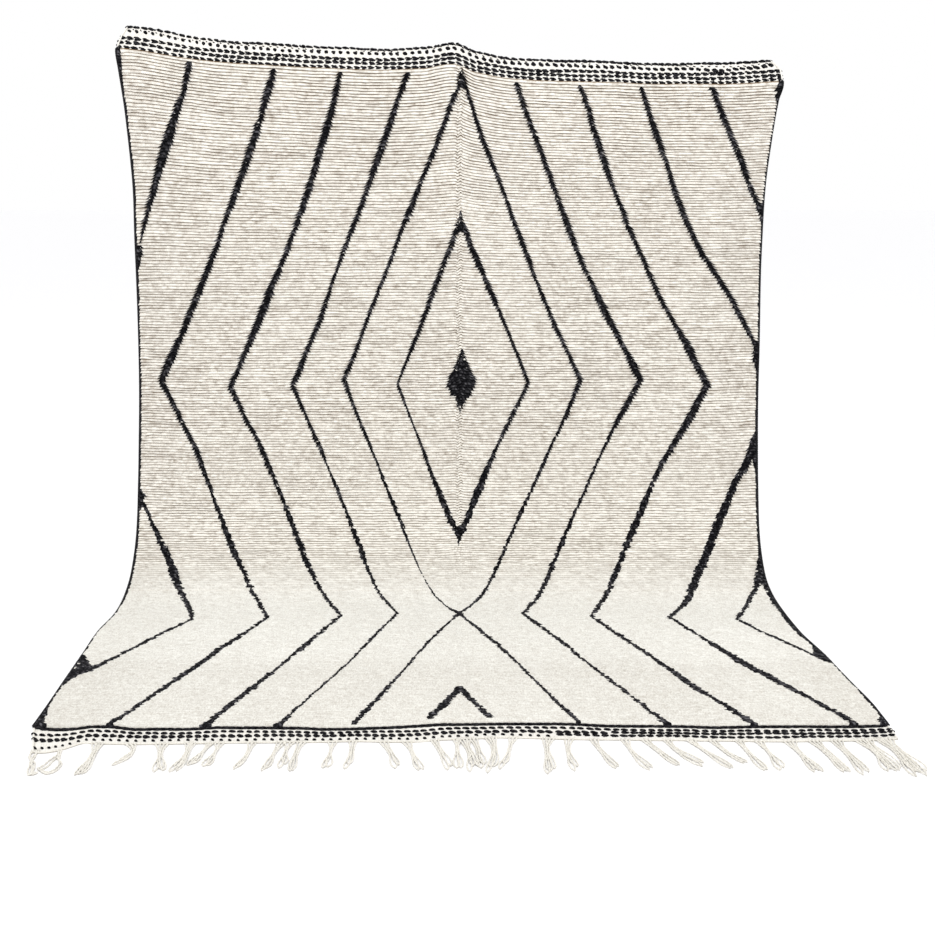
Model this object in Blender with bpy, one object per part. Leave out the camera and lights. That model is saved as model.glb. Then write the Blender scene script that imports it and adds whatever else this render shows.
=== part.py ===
"""A Beni Ourain rug, hung from its top edge with its lower part swept forward over the floor.

Metres, +Z up. The rug hangs in the XZ plane and sweeps towards -Y. Places on the rug are given
by two lengths measured on the cloth: across, from the middle of the pattern, and down, from the
top edge. The origin is on the floor, in the middle of the rug's bounding box.
"""

import bmesh
import bpy
import numpy as np

# The rug, laid flat
LEFT_SIDE = -1.310  # outer edge of the left selvedge, measured across
RIGHT_SIDE = 1.240
LENGTH = 3.403  # top edge to the last row of the lower kilim, without the fringe
TOP_KILIM = 0.075
BOTTOM_KILIM = 0.095

# Thickness
KILIM_THICK = 0.005
PILE_THICK = 0.015  # ground weave and pile together
PILE_EDGE_THICK = 0.010  # the pile leans over at its own edges
CORD_SLOT = 0.014  # the strip that each overcast side takes
CORD_RADIUS = 0.0063
FRINGE_THICK = 0.008
GAP = 0.0003  # between neighbouring pieces

# How it hangs: the slope of the cloth away from upright, going down
LEAN = np.radians(12)
LEAN_START = 0.68
BEND_START = 1.58
BEND_END = 2.43
CURL_BACK = 0.030  # how far the sides turn back between the held edge and the floor
CURL_SHARE = 0.2  # of each half of the width
RISE_REACH = 0.90  # how far down the uneven top edge is felt

# The held edge, higher at the corners and in the middle, where it is gripped
TOP_EDGE = [
    # across, rise
    (-1.310, 0.085),
    (-1.240, 0.078),
    (-1.060, 0.048),
    (-0.900, 0.030),
    (-0.700, 0.018),
    (-0.500, 0.009),
    (-0.300, 0.002),
    (-0.150, 0.005),
    (-0.030, 0.018),
    (0.060, -0.006),
    (0.200, -0.030),
    (0.380, -0.042),
    (0.700, -0.050),
    (1.000, -0.051),
    (1.240, -0.036),
]

# Where the two sides hang and lie
SIDES = [
    # down, left x, right x
    (0.000, -1.275, 1.195),
    (0.040, -1.305, 1.240),
    (0.090, -1.325, 1.250),
    (0.150, -1.320, 1.236),
    (0.300, -1.311, 1.225),
    (0.500, -1.309, 1.218),
    (0.750, -1.319, 1.221),
    (1.200, -1.329, 1.234),
    (1.700, -1.335, 1.233),
    (2.000, -1.322, 1.220),
    (2.200, -1.306, 1.210),
    (2.450, -1.288, 1.209),
    (2.600, -1.297, 1.213),
    (2.800, -1.287, 1.238),
    (3.000, -1.278, 1.254),
    (3.200, -1.268, 1.270),
    (LENGTH, -1.262, 1.270),
]

# Soft folds that fall from the grips: a ridge stands forward, a trough lies back
FOLDS = [
    # across, half width, forward, fades out at
    (-1.270, 0.070, 0.024, 0.60),
    (-1.080, 0.110, -0.014, 1.10),
    (-0.780, 0.150, 0.010, 1.40),
    (-0.400, 0.160, -0.008, 1.20),
    (-0.110, 0.045, -0.009, 0.45),
    (-0.030, 0.050, 0.022, 0.50),
    (0.050, 0.040, -0.010, 0.45),
    (0.000, 0.035, -0.007, 2.10),
    (0.330, 0.160, 0.009, 1.30),
    (0.700, 0.170, -0.010, 1.50),
    (1.000, 0.110, 0.009, 1.20),
    (1.200, 0.060, 0.022, 0.60),
]

# Rows of facets down the rug, closest where it bends
FACET_ROWS = [
    # down to, rows
    (TOP_KILIM, 2),
    (0.700, 9),
    (BEND_START, 9),
    (BEND_END, 22),
    (LENGTH - BOTTOM_KILIM, 6),
    (LENGTH, 1),
]
FACET_COLUMNS = 48
CORD_FACETS = 8

# Tassels of the lower end, as they lie on the floor
HEADING = 0.012
TASSEL_ROOT_WIDTH = 0.010
TASSEL_LOOP_WIDTH = 0.015
TASSELS = [
    # root x, middle dx, tip dx, reach
    (-1.230, 0.010, 0.050, 0.140),
    (-1.150, 0.030, 0.010, 0.125),
    (-1.040, 0.010, -0.010, 0.165),
    (-0.950, 0.025, -0.005, 0.120),
    (-0.855, 0.015, 0.030, 0.155),
    (-0.775, 0.005, -0.010, 0.155),
    (-0.718, -0.010, -0.030, 0.120),
    (-0.692, 0.000, -0.010, 0.125),
    (-0.596, -0.005, -0.020, 0.140),
    (-0.515, -0.010, -0.025, 0.150),
    (-0.488, -0.005, -0.003, 0.135),
    (-0.455, -0.008, -0.008, 0.150),
    (-0.367, 0.000, -0.005, 0.135),
    (-0.308, 0.000, -0.005, 0.140),
    (-0.222, 0.025, 0.048, 0.135),
    (-0.156, 0.023, 0.048, 0.145),
    (-0.076, 0.024, 0.045, 0.145),
    (-0.010, 0.002, 0.005, 0.135),
    (0.012, 0.014, 0.025, 0.155),
    (0.034, 0.018, 0.027, 0.135),
    (0.085, 0.010, -0.003, 0.160),
    (0.154, -0.018, -0.040, 0.140),
    (0.255, -0.010, -0.008, 0.165),
    (0.316, -0.012, 0.002, 0.150),
    (0.387, 0.012, 0.045, 0.135),
    (0.473, 0.015, 0.048, 0.145),
    (0.531, 0.030, 0.070, 0.120),
    (0.595, 0.022, 0.075, 0.125),
    (0.659, 0.040, 0.085, 0.135),
    (0.724, 0.024, 0.065, 0.107),
    (0.801, 0.014, 0.033, 0.145),
    (0.859, 0.011, 0.022, 0.145),
    (0.946, 0.011, 0.032, 0.155),
    (1.017, 0.018, 0.037, 0.155),
    (1.082, 0.008, 0.020, 0.170),
    (1.161, 0.013, 0.028, 0.150),
    (1.222, 0.012, 0.032, 0.180),
]

CREAM_WOOL = (0.78, 0.74, 0.66)
BLACK_WOOL = (0.014, 0.014, 0.018)
COTTON_WHITE = (0.84, 0.81, 0.74)


def smooth(t):
    """0 below 0, 1 above 1, and an even S between."""
    t = np.clip(t, 0.0, 1.0)
    return t * t * (3.0 - 2.0 * t)


def between(table, x, column=1):
    """Reads a column of a table at x, on a smooth line that doesn't overshoot its rows."""
    xs = np.array([row[0] for row in table])
    ys = np.array([row[column] for row in table])
    step = np.diff(xs)
    rate = np.diff(ys) / step
    before, after = rate[:-1], rate[1:]
    level = before * after <= 0
    inner = np.where(level, 0.0, 2 * before * after / np.where(level, 1.0, before + after))
    slope = np.concatenate([rate[:1], inner, rate[-1:]])
    x = np.clip(x, xs[0], xs[-1])
    i = np.clip(np.searchsorted(xs, x, side="right") - 1, 0, len(step) - 1)
    t = (x - xs[i]) / step[i]
    rise = smooth(t)
    return (
        ys[i] * (1 - rise)
        + ys[i + 1] * rise
        + step[i] * t * (1 - t) * ((1 - t) * slope[i] - t * slope[i + 1])
    )


def centre_profile(samples=3404):
    """Depth and height down the middle of the rug, from the slope of the cloth."""
    down = np.linspace(0.0, LENGTH, samples)
    slope = LEAN * smooth((down - LEAN_START) / (BEND_START - LEAN_START))
    slope = slope + (np.pi / 2 - LEAN) * smooth((down - BEND_START) / (BEND_END - BEND_START))
    part = down[1] / 2
    forward, fall = np.sin(slope), np.cos(slope)
    depth = -np.concatenate([[0.0], np.cumsum((forward[1:] + forward[:-1]) * part)])
    height = np.concatenate([np.cumsum(((fall[1:] + fall[:-1]) * part)[::-1])[::-1], [0.0]])
    return down, depth, height


PROFILE = centre_profile()
DEPTH = PROFILE[1].min()


def back_point(across, down):
    """A point on the back of the rug, which lies on the floor past the bend."""
    across, down = np.broadcast_arrays(across, down)
    share = np.where(across < 0, across / LEFT_SIDE, across / RIGHT_SIDE)
    side = np.where(across < 0, between(SIDES, down, 1), between(SIDES, down, 2))
    depth = np.interp(down, PROFILE[0], PROFILE[1])
    height = np.interp(down, PROFILE[0], PROFILE[2])
    curl = smooth(down / 0.6) * (1 - smooth((down - 1.3) / 0.7))
    depth = depth + CURL_BACK * curl * smooth((share - 1 + CURL_SHARE) / CURL_SHARE)
    for middle, half_width, forward, end in FOLDS:
        fade = 1 - smooth(down / end)
        depth = depth - forward * fade * np.exp(-(((across - middle) / half_width) ** 2))
    height = height + between(TOP_EDGE, across) * (1 - smooth(down / RISE_REACH))
    return np.stack([share * side, depth, height], -1)


def directions(across, down, reach=0.002):
    """Unit vectors at a place on the rug: across it, and out of its pile side."""
    low, high = np.maximum(down - reach, 0.0), np.minimum(down + reach, LENGTH)
    along = back_point(across, high) - back_point(across, low)
    over = back_point(across + reach, down) - back_point(across - reach, down)
    over /= np.linalg.norm(over, axis=-1, keepdims=True)
    out = np.cross(along, over)
    out /= np.linalg.norm(out, axis=-1, keepdims=True)
    return over, out


def facet_rows(start, end):
    """Stations down the rug from start to end, at marks that every piece shares."""
    marks = [0.0]
    for low, rows in FACET_ROWS:
        marks += list(np.linspace(marks[-1], low, rows + 1)[1:])
    inside = [mark for mark in marks if start + GAP < mark < end - GAP]
    return np.array([start, *inside, end])


def material(name, colour, roughness):
    """A plain wool or cotton finish."""
    made = bpy.data.materials.new(name)
    made.use_nodes = True
    shader = made.node_tree.nodes["Principled BSDF"]
    shader.inputs["Base Color"].default_value = (*colour, 1.0)
    shader.inputs["Roughness"].default_value = roughness
    shader.inputs["Metallic"].default_value = 0.0
    return made


def place(name, mesh_maker, colour, roughness=0.95):
    """Puts a closed bmesh into the scene as a named object of its own."""
    mesh = bpy.data.meshes.new(name)
    bmesh.ops.recalc_face_normals(mesh_maker, faces=mesh_maker.faces)
    mesh_maker.to_mesh(mesh)
    mesh_maker.free()
    mesh.shade_smooth()
    mesh.set_sharp_from_angle(angle=np.radians(40))
    piece = bpy.data.objects.new(name, mesh)
    bpy.context.collection.objects.link(piece)
    mesh.materials.append(material(name + "_finish", colour, roughness))
    return piece


def sheet(start, end, thick, edge_thick):
    """A stretch of the rug between the two sides, as a closed solid on the rug's folds."""
    inset = CORD_SLOT + GAP
    columns = np.linspace(LEFT_SIDE + inset, RIGHT_SIDE - inset, FACET_COLUMNS + 1)
    rows = facet_rows(start, end)
    across, down = np.meshgrid(columns, rows)
    depth = np.full(across.shape, thick)
    depth[[0, -1], :] = edge_thick
    depth[:, [0, -1]] = edge_thick
    back = back_point(across, down)
    front = back + directions(across, down)[1] * depth[..., None]
    maker = bmesh.new()
    behind = [[maker.verts.new(point) for point in row] for row in back]
    before = [[maker.verts.new(point) for point in row] for row in front]
    last_row, last_column = len(rows) - 1, len(columns) - 1
    for i in range(last_row):
        for j in range(last_column):
            for side in (behind, before):
                maker.faces.new((side[i][j], side[i][j + 1], side[i + 1][j + 1], side[i + 1][j]))
    for i in range(last_row):
        for j in (0, last_column):
            maker.faces.new((behind[i][j], before[i][j], before[i + 1][j], behind[i + 1][j]))
    for j in range(last_column):
        for i in (0, last_row):
            maker.faces.new((behind[i][j], before[i][j], before[i][j + 1], behind[i][j + 1]))
    return maker


def cord(middle):
    """The overcast cord that binds one side, from the top edge to the last row."""
    rows = facet_rows(0.0, LENGTH)
    across = np.full(rows.shape, middle)
    over, out = directions(across, rows)
    centre = back_point(across, rows) + out * CORD_RADIUS
    maker = bmesh.new()
    rings = []
    for i in range(len(rows)):
        ring = []
        for turn in np.arange(CORD_FACETS) * 2 * np.pi / CORD_FACETS + np.pi / CORD_FACETS:
            offset = over[i] * np.cos(turn) + out[i] * np.sin(turn)
            ring.append(maker.verts.new(centre[i] + offset * CORD_RADIUS))
        rings.append(ring)
    for low, high in zip(rings, rings[1:]):
        for k in range(CORD_FACETS):
            after = (k + 1) % CORD_FACETS
            maker.faces.new((low[k], low[after], high[after], high[k]))
    maker.faces.new(rings[0])
    maker.faces.new(rings[-1])
    return maker


def comb():
    """The fringe: a narrow heading with a tapering tooth for each tassel, flat on the floor."""
    front = DEPTH - GAP
    foot = front - HEADING
    half = TASSEL_ROOT_WIDTH / 2
    side = between(SIDES, LENGTH, 1), between(SIDES, LENGTH, 2)
    marks = [side[0] + CORD_SLOT]
    for root, *_ in TASSELS:
        marks += [root - half, root + half]
    marks.append(side[1] - CORD_SLOT)
    maker = bmesh.new()
    upper = [maker.verts.new((x, front, 0.0)) for x in marks]
    lower = [maker.verts.new((x, foot, 0.0)) for x in marks]
    faces = []
    for k in range(len(marks) - 1):
        faces.append(maker.faces.new((upper[k], lower[k], lower[k + 1], upper[k + 1])))
    for k, (root, middle, tip, reach) in enumerate(TASSELS):
        edge = lower[2 * k + 1], lower[2 * k + 2]
        for x, share, width in (
            (root + middle, 0.5, TASSEL_ROOT_WIDTH),
            (root + tip, 0.92, TASSEL_LOOP_WIDTH),
            (root + tip, 1.0, TASSEL_LOOP_WIDTH / 2),
        ):
            y = front - reach * share
            after = maker.verts.new((x - width / 2, y, 0.0)), maker.verts.new((x + width / 2, y, 0.0))
            faces.append(maker.faces.new((edge[0], after[0], after[1], edge[1])))
            edge = after
    raised = bmesh.ops.extrude_face_region(maker, geom=faces)["geom"]
    upper_side = [part for part in raised if isinstance(part, bmesh.types.BMVert)]
    bmesh.ops.translate(maker, verts=upper_side, vec=(0.0, 0.0, FRINGE_THICK))
    return maker


def build_rug():
    """Every piece of the rug, with its box set over the origin."""
    field_end = LENGTH - BOTTOM_KILIM
    half_gap = GAP / 2
    pieces = [
        place(
            "pile_field",
            sheet(TOP_KILIM + half_gap, field_end - half_gap, PILE_THICK, PILE_EDGE_THICK),
            CREAM_WOOL,
        ),
        place("kilim_top", sheet(0.0, TOP_KILIM - half_gap, KILIM_THICK, KILIM_THICK), COTTON_WHITE),
        place(
            "kilim_bottom",
            sheet(field_end + half_gap, LENGTH, KILIM_THICK, KILIM_THICK),
            COTTON_WHITE,
        ),
        place("selvedge_left", cord(LEFT_SIDE + CORD_SLOT / 2), BLACK_WOOL),
        place("selvedge_right", cord(RIGHT_SIDE - CORD_SLOT / 2), BLACK_WOOL),
        place("fringe", comb(), COTTON_WHITE),
    ]
    corners = np.array([vertex.co for piece in pieces for vertex in piece.data.vertices])
    middle = (corners.min(axis=0) + corners.max(axis=0)) / 2
    for piece in pieces:
        piece.location = (-middle[0], -middle[1], 0.0)


for old in list(bpy.data.objects):
    bpy.data.objects.remove(old, do_unlink=True)
build_rug()
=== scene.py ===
"""Looks of a Beni Ourain rug: knotted pile, twined ends, overcast sides and looped tassels.

Metres, +Z up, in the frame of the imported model, except in the tables that are typed in mm. Places
on the rug are given by three lengths: across, from the middle of the pattern, down, from the held
top edge, and height, out of its back.
"""

import bpy
import numpy as np
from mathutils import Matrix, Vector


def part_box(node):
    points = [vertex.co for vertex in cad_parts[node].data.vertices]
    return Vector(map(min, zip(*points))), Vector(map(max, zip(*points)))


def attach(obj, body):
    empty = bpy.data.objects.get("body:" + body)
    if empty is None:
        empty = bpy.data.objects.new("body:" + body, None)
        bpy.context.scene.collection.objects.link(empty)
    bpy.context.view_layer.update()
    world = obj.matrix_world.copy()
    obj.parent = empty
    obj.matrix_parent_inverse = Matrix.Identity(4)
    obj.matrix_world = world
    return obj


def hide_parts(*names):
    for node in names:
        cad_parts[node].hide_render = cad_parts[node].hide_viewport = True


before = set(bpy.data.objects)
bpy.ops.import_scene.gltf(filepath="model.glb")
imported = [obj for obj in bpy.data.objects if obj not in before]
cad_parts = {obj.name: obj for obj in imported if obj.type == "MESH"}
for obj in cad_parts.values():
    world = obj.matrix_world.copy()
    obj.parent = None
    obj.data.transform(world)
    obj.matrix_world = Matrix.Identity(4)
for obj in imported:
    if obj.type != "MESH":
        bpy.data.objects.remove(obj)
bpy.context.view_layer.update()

RANDOM_START = 27

# The rug as the CAD has it, laid flat
LEFT_SIDE = -1.310
RIGHT_SIDE = 1.240
LENGTH = 3.403
TOP_KILIM = 0.075
BOTTOM_KILIM = 0.095
CORD_SLOT = 0.014
CORD_RADIUS = 0.0063
GAP = 0.0003
FIELD_START = TOP_KILIM + GAP / 2
FIELD_END = LENGTH - BOTTOM_KILIM - GAP / 2

# How it hangs, as in the CAD but for a few millimetres of the top edge
LEAN = np.radians(12)
LEAN_START = 0.68
BEND_START = 1.58
BEND_END = 2.43
CURL_BACK, CURL_SHARE = 0.030, 0.2  # how far both sides curl back, over this share of each half
CURL_FULL, CURL_FADE = 0.6, (1.3, 2.0)  # where down this is full, and where it fades
RISE_REACH = 0.90
TOP_EDGE = np.array([
    # across and rise, in mm
    (-1310, 86), (-1240, 81), (-1060, 53), (-900, 34), (-700, 22), (-500, 13), (-300, 7),
    (-150, 12), (-30, 26), (60, -2), (200, -27), (380, -36), (600, -40), (750, -45), (1000, -47),
    (1240, -36),
]) / 1000
SIDES = np.array([
    # down, left x and right x, in mm
    (0, -1275, 1195), (40, -1305, 1240), (90, -1325, 1250), (150, -1320, 1236), (300, -1311, 1225),
    (500, -1309, 1218), (750, -1319, 1221), (1200, -1329, 1234), (1700, -1335, 1233),
    (2000, -1322, 1220), (2200, -1306, 1210), (2450, -1288, 1209), (2600, -1297, 1213),
    (2800, -1287, 1238), (3000, -1278, 1254), (3200, -1268, 1270), (3403, -1262, 1270),
]) / 1000
FOLDS = np.array([
    # across, half width, forward, and where down it has faded out, in mm
    (-1270, 70, 24, 600), (-1080, 110, -14, 1100), (-780, 150, 10, 1400), (-400, 160, -8, 1200),
    (-110, 45, -9, 450), (-30, 50, 22, 500), (50, 40, -10, 450), (0, 35, -7, 2100),
    (330, 160, 9, 1300), (700, 170, -10, 1500), (1000, 110, 9, 1200), (1200, 60, 22, 600),
]) / 1000

# Knots and rows of the pile
KNOTS = 262  # in a row
ROWS = 291
PITCH = (FIELD_END - FIELD_START) / ROWS  # 11.1 mm, counted in the photo
ROWS_FADE = (1.95, 2.42)  # where the drooping rows of the hanging part give way to upright tufts
PAINTED_LIGHT_DOWN = [
    # down, how much paler than the middle of the hanging part: painted light round the bend, where the
    # rug shades itself, and painted shade towards the lower end, which the lamp lights more
    (0.00, -0.03), (1.55, -0.03), (1.85, 0.05), (2.05, 0.10), (2.25, 0.02), (2.45, -0.02),
    (2.65, -0.01), (2.78, -0.02), (2.95, -0.12), (3.20, -0.12),
]
TEETH_FADE = (1.30, 2.10)  # where the black knots stop drooping into teeth
PALE_SHARE = [
    # down, how far the light reaches down between the rows
    (1.40, 0.00), (1.55, 0.38), (1.70, 0.46), (1.95, 0.46), (2.20, 0.80), (2.42, 1.00),
]
CREASE = -0.006  # the rug was folded along its middle, and its tufts are swept aside there
CREASE_END = 2.05
CREASE_HALF = 0.010
CREASE_SWEEP = (0.3, 0.9)  # in rows, and other in each: down on its left, up on its right
CREASE_SWEEP_REACH = 0.009
CREASE_RISE, CREASE_REACH = 0.25, 0.045  # how many rows its tufts are pushed up, and how far out
SIDE_STRAY, SIDE_STRAY_REACH = 1.3, 0.035  # rows wander more near the sides, by this share
SINGLE_OPEN, SINGLE_FADE = (0.14, 0.22), (0.7, 1.6)  # grooves open knot by knot, more so lower down
TUFT_RISE, TUFT_SWAY = 0.0007, 0.0016  # how uneven the tufts are in height and across
STANDING_TONE, HANGING_TONE, ROW_TONE = 0.035, 0.095, 0.025  # how uneven they are in tone
SIDE_PAINTED_SHADE, SIDE_PAINTED_SHADE_FADE = 0.05, (0.95, 1.20)  # painted shade: how much darker the sides are, where the light falls off, from and to across
FILL_RISE, FILL_TONE = 0.0078, 0.62  # of a groove that is closed: how far it fills up, and how much of its painted shade it loses
LAST_LIP = (0.004, 0.6)  # height and tone of the pile's last edge
SPILL_REACH = 0.008
PROFILE_STEPS = 3
# The two forms of a tuft, as rows of down in pile rows, height, share of the unevenness and tone; the
# tone is painted shade, darkest at the roots between the rows and palest at the lips
HANGING_TUFT = [(0.00, 0.0028, 0.0, -0.40), (0.43, 0.0084, 0.6, 0.72), (1.12, 0.0136, 1.0, 1.00)]
STANDING_TUFT = [(0.00, 0.0112, 0.6, 0.74), (0.34, 0.0119, 1.0, 0.86), (0.68, 0.0118, 1.0, 0.86)]
LEFT_COVER = np.array([
    # down, and how far the pile spills over the overcast side, in mm
    (75, 0), (950, 0), (1050, 4), (1200, 4), (1300, 1), (2250, 1), (2450, 6), (2750, 6), (3050, 4),
    (3180, 0),
]) / 1000
RIGHT_COVER = np.array([
    (75, 1), (180, 6), (460, 6), (600, 3), (1100, 3), (1250, 0), (2550, 0), (2750, 4), (2950, 6),
    (3060, 5), (3120, 0),
]) / 1000
PILE_BLOCKS = 3

# The black knots at the four levels of a row: root, middle, lip and the next root
KNOT_LEVELS = np.array([0.0, 0.4, 1.05, 1.0])
TOOTH_FLARE = np.array([-0.0032, -0.0016, 0.0078, -0.0032])
LINE_TRIM = [
    # down, how much each side is drawn in for the spread of the tufts
    (1.20, 0.0026), (1.80, 0.0028), (2.15, 0.0026), (2.35, 0.0010), (2.45, 0.0006),
]
LINE_PROUD = np.array([0.0008, 0.0013, 0.0011, 0.0008])
LINE_LOWER = np.array([0.0, 0.0, 0.0010, 0.0007])  # so that they cover the cream lips from below too
# painted light and shade on the black knots, by level: darkest at the roots, lightest at the lips
LINE_PAINTED_LIGHT = np.array([0.0, 0.02, 0.08, 0.0])
LINE_SUNK = -0.0012  # both sides of a span dip into the cream
KNOT_STRAY, ROW_STRAY, ROW_CALM = 0.0023, 0.0026, 0.0010
FULL_TEETH_HALF = 0.0085  # half width from which a line has its full teeth
LEAST_SPAN = 0.0012
SPAN_MARGIN = 0.0015  # spans nearer than this join, and cream knots this far inside are left out
SIDE_REACH = 0.0045  # how far black knots at the edge of the field lean over the overcast side
SIDE_SNAP = 0.004  # black that ends this close to the overcast side meets it
PAD_LEVELS = np.array([0.12, 0.28, 0.76, 0.92])  # of the low pads behind, in rows
PAD_RIM, PAD_TOP = 0.0017, 0.0002  # heights: their rims lie in the cloth

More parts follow.
